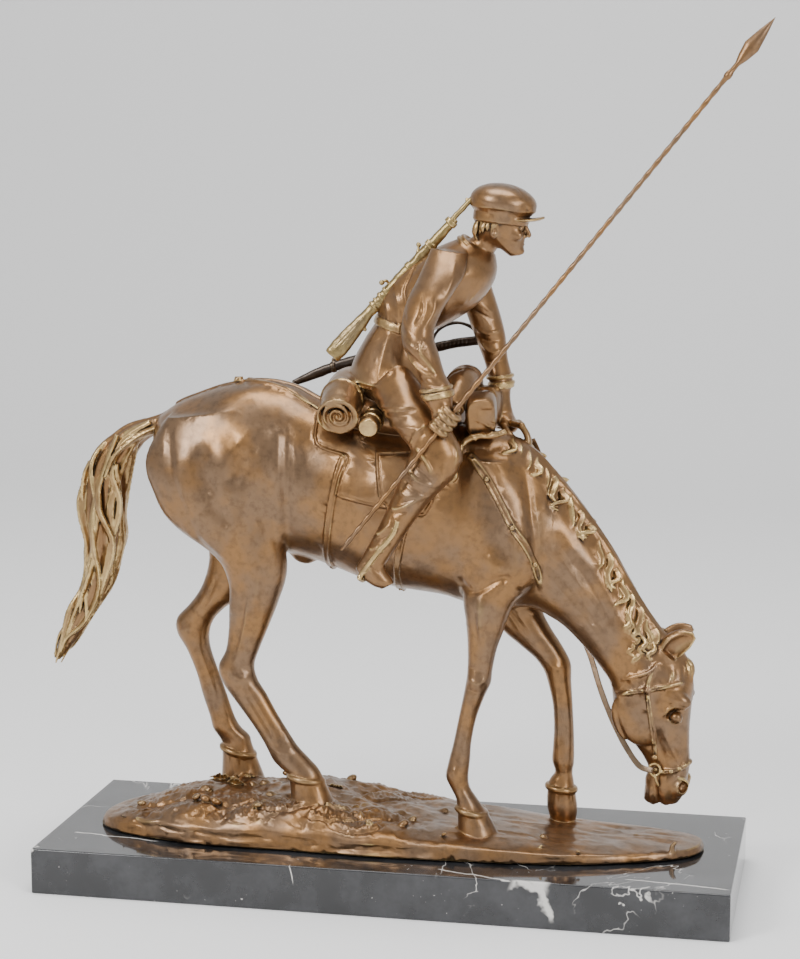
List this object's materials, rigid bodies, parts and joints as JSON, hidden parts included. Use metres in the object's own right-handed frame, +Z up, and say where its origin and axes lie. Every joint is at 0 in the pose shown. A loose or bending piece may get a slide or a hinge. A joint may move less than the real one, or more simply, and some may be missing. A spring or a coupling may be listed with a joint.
{
  "type": "equestrian statuette",
  "caption": "Bronze statuette of a mounted scout with a lance, on a horse that lowers its head, on a natural ground and a black marble plinth.",
  "frame": {"origin": "centre of the plinth's underside", "axes": "+X towards the horse's head along the plinth's length, +Y towards the horse's left side, away from the picture's viewer, +Z up"},
  "size_m": [0.4742, 0.165, 0.556],
  "materials": {
    "marble": "polished black marble with thin white veins",
    "patinated_bronze": "brown patina, rubbed to gold on raised edges, waxed",
    "lance_bronze": "brown patina with bright rubbed ridges",
    "rifle_bronze": "greenish brown patina, rubbed to dull gold",
    "dark_patina": "near-black patina, satin"
  },
  "bodies": {
    "root": {"marble_plinth": "marble", "bronze_horse_rider_and_ground": "patinated_bronze", "lance": "lance_bronze", "rifle": "rifle_bronze", "sabre": "dark_patina", "reins": "patinated_bronze"}
  },
  "joints": []
}
